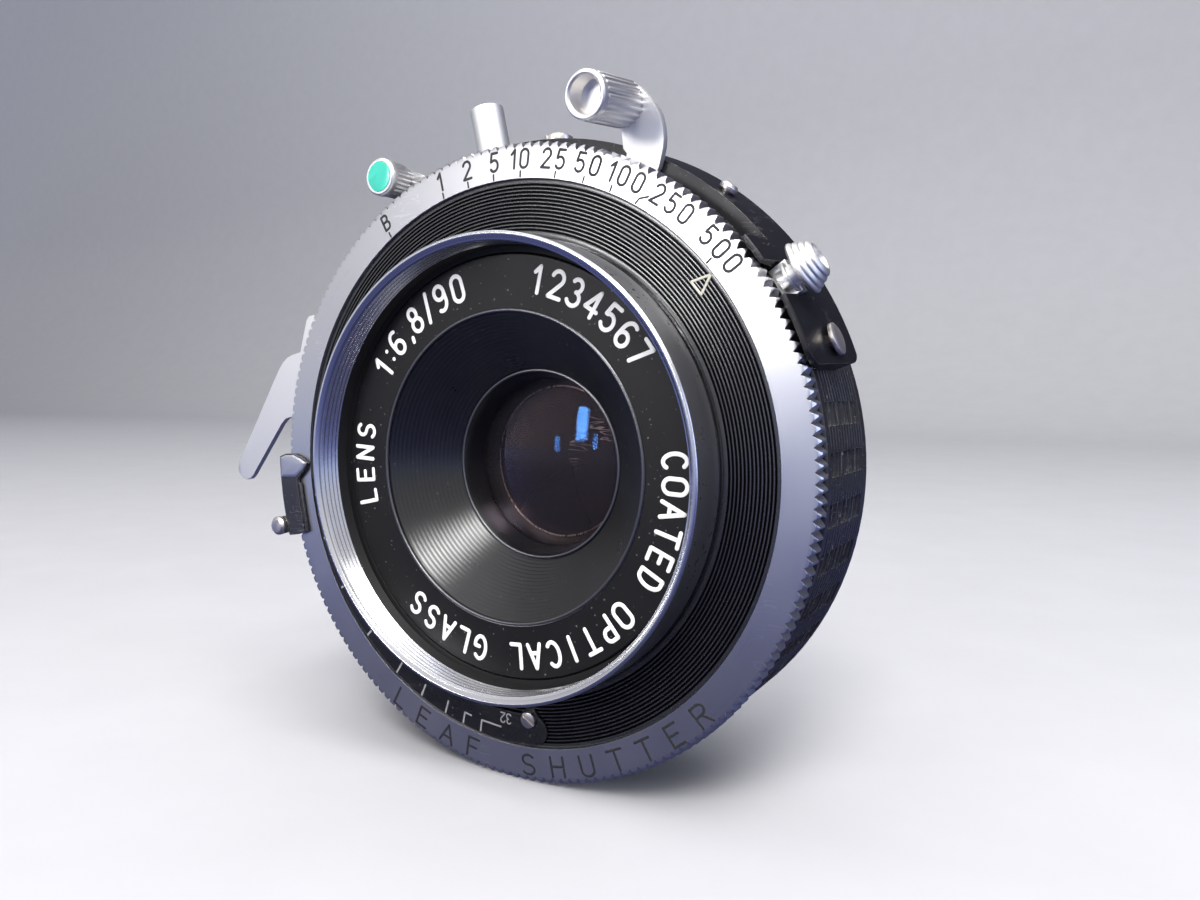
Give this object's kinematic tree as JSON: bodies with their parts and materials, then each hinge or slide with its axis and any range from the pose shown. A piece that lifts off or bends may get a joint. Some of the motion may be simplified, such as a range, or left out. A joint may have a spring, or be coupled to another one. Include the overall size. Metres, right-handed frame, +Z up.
{
  "type": "view camera lens in leaf shutter",
  "caption": "Wide-angle view-camera lens in a press-type leaf shutter: stepped funnel front, toothed speed ring, cocking, release, sync and aperture levers, threaded rear mount.",
  "frame": {"origin": "optical axis at the mounting flange, the rear face of the shutter case", "axes": "+Y backwards along the optical axis (the front of the lens faces -Y), +Z up, +X to the right seen from the front"},
  "size_m": [0.0757, 0.0314, 0.0654],
  "materials": {
    "worn_black": "semi-matt black, worn",
    "name_black": "satin black",
    "funnel_black": "black anodised, stepped",
    "inner_black": "matt black",
    "case_black": "semi-matt black",
    "raw_alloy": "machined",
    "plate_black": "satin black, fine turned",
    "satin_chrome": "satin chrome",
    "cam_steel": "stamped",
    "band_black": "semi-gloss black",
    "screw_steel": "polished",
    "scale_black": "satin black",
    "lever_black": "semi-gloss black, worn edges",
    "satin_steel": "satin",
    "knurled_steel": "satin, knurled",
    "enamel_green": "enamel",
    "insulator": "moulded",
    "contact_brass": "polished",
    "blade_steel": "blackened",
    "lens_glass": "coated"
  },
  "bodies": {
    "case": {"aperture_scale_plate": "scale_black", "band_screws": "screw_steel", "blade_partition_plate": "raw_alloy", "cover_band": "band_black", "flash_contact": "contact_brass", "flash_insulator": "insulator", "flash_terminal": "satin_steel", "front_bezel": "worn_black", "front_cell_barrel": "funnel_black", "front_glass_a": "lens_glass", "front_glass_b": "lens_glass", "front_glass_c": "lens_glass", "front_glass_retainer": "inner_black", "front_plate": "plate_black", "lens_tube": "raw_alloy", "mechanism_plate": "raw_alloy", "name_ring": "name_black", "rear_cell_barrel": "funnel_black", "rear_glass_a": "lens_glass", "rear_glass_b": "lens_glass", "rear_glass_c": "lens_glass", "rear_glass_retainer": "inner_black", "release_pivot": "screw_steel", "scale_plate_screw": "screw_steel", "shutter_housing": "case_black", "socket_head": "knurled_steel", "socket_stem": "satin_steel", "top_screw": "screw_steel"},
    "speed_selector": {"speed_ring": "satin_chrome", "speed_cam_ring": "cam_steel"},
    "aperture_selector": {"aperture_lever": "lever_black", "aperture_lever_pin": "screw_steel", "iris_ring": "cam_steel"},
    "blade_drive": {"blade_drive_ring": "cam_steel"},
    "cocking": {"cocking_lever": "satin_steel", "cocking_knob": "knurled_steel", "cocking_ring": "cam_steel"},
    "sync": {"sync_lever": "cam_steel", "sync_button": "knurled_steel", "sync_button_inlay": "enamel_green"},
    "release": {"release_lever": "satin_steel"},
    "iris_1": {"iris_blade_1": "blade_steel"},
    "iris_2": {"iris_blade_2": "blade_steel"},
    "iris_3": {"iris_blade_3": "blade_steel"},
    "iris_4": {"iris_blade_4": "blade_steel"},
    "iris_5": {"iris_blade_5": "blade_steel"},
    "iris_6": {"iris_blade_6": "blade_steel"},
    "iris_7": {"iris_blade_7": "blade_steel"},
    "blade_1": {"shutter_blade_1": "blade_steel"},
    "blade_2": {"shutter_blade_2": "blade_steel"},
    "blade_3": {"shutter_blade_3": "blade_steel"},
    "blade_4": {"shutter_blade_4": "blade_steel"},
    "blade_5": {"shutter_blade_5": "blade_steel"}
  },
  "joints": [
    {"name": "speed_ring_turn", "type": "hinge", "parent": "case", "child": "speed_selector", "pos_m": [0, -0.0145, 0], "axis": [0, -1, 0], "range_deg": [-81, 0]},
    {"name": "aperture_turn", "type": "hinge", "parent": "case", "child": "aperture_selector", "pos_m": [0, -0.003, 0], "axis": [0, -1, 0], "range_deg": [0, 80]},
    {"name": "blade_drive_turn", "type": "hinge", "parent": "case", "child": "blade_drive", "pos_m": [0, -0.0061, 0], "axis": [0, -1, 0], "range_deg": [0, 25]},
    {"name": "cocking_turn", "type": "hinge", "parent": "case", "child": "cocking", "pos_m": [0, -0.0122, 0], "axis": [0, -1, 0], "range_deg": [-20.5, 0]},
    {"name": "sync_turn", "type": "hinge", "parent": "case", "child": "sync", "pos_m": [0, -0.0102, 0], "axis": [0, -1, 0], "range_deg": [0, 20]},
    {"name": "release_swing", "type": "hinge", "parent": "case", "child": "release", "pos_m": [-0.02122, -0.009, 0.01225], "axis": [0, -1, 0], "range_deg": [0, 8]},
    {"name": "iris_blade_1_swing", "type": "hinge", "parent": "case", "child": "iris_1", "pos_m": [0.01926, -0.0042, 0.00701], "axis": [0, -1, 0], "range_deg": [0, 29.2]},
    {"name": "iris_blade_2_swing", "type": "hinge", "parent": "case", "child": "iris_2", "pos_m": [0.00653, -0.0042, 0.01943], "axis": [0, -1, 0], "range_deg": [0, 29.2]},
    {"name": "iris_blade_3_swing", "type": "hinge", "parent": "case", "child": "iris_3", "pos_m": [-0.01112, -0.0042, 0.01722], "axis": [0, -1, 0], "range_deg": [0, 29.2]},
    {"name": "iris_blade_4_swing", "type": "hinge", "parent": "case", "child": "iris_4", "pos_m": [-0.0204, -0.0042, 0.00204], "axis": [0, -1, 0], "range_deg": [0, 29.2]},
    {"name": "iris_blade_5_swing", "type": "hinge", "parent": "case", "child": "iris_5", "pos_m": [-0.01431, -0.0042, -0.01468], "axis": [0, -1, 0], "range_deg": [0, 29.2]},
    {"name": "iris_blade_6_swing", "type": "hinge", "parent": "case", "child": "iris_6", "pos_m": [0.00255, -0.0042, -0.02034], "axis": [0, -1, 0], "range_deg": [0, 29.2]},
    {"name": "iris_blade_7_swing", "type": "hinge", "parent": "case", "child": "iris_7", "pos_m": [0.01749, -0.0042, -0.01069], "axis": [0, -1, 0], "range_deg": [0, 29.2]},
    {"name": "shutter_blade_1_swing", "type": "hinge", "parent": "case", "child": "blade_1", "pos_m": [0.02145, -0.0055, 0.0015], "axis": [0, -1, 0], "range_deg": [-36.2, 0]},
    {"name": "shutter_blade_2_swing", "type": "hinge", "parent": "case", "child": "blade_2", "pos_m": [0.0052, -0.0055, 0.02086], "axis": [0, -1, 0], "range_deg": [-36.2, 0]},
    {"name": "shutter_blade_3_swing", "type": "hinge", "parent": "case", "child": "blade_3", "pos_m": [-0.01823, -0.0055, 0.01139], "axis": [0, -1, 0], "range_deg": [-36.2, 0]},
    {"name": "shutter_blade_4_swing", "type": "hinge", "parent": "case", "child": "blade_4", "pos_m": [-0.01647, -0.0055, -0.01382], "axis": [0, -1, 0], "range_deg": [-36.2, 0]},
    {"name": "shutter_blade_5_swing", "type": "hinge", "parent": "case", "child": "blade_5", "pos_m": [0.00805, -0.0055, -0.01993], "axis": [0, -1, 0], "range_deg": [-36.2, 0]}
  ],
  "couplings": [
    {"joint": "iris_blade_1_swing", "follows": "aperture_turn", "ratio": 0.3625},
    {"joint": "iris_blade_2_swing", "follows": "aperture_turn", "ratio": 0.3625},
    {"joint": "iris_blade_3_swing", "follows": "aperture_turn", "ratio": 0.3625},
    {"joint": "iris_blade_4_swing", "follows": "aperture_turn", "ratio": 0.3625},
    {"joint": "iris_blade_5_swing", "follows": "aperture_turn", "ratio": 0.3625},
    {"joint": "iris_blade_6_swing", "follows": "aperture_turn", "ratio": 0.3625},
    {"joint": "iris_blade_7_swing", "follows": "aperture_turn", "ratio": 0.3625},
    {"joint": "shutter_blade_1_swing", "follows": "blade_drive_turn", "ratio": -1.44},
    {"joint": "shutter_blade_2_swing", "follows": "blade_drive_turn", "ratio": -1.44},
    {"joint": "shutter_blade_3_swing", "follows": "blade_drive_turn", "ratio": -1.44},
    {"joint": "shutter_blade_4_swing", "follows": "blade_drive_turn", "ratio": -1.44},
    {"joint": "shutter_blade_5_swing", "follows": "blade_drive_turn", "ratio": -1.44}
  ]
}
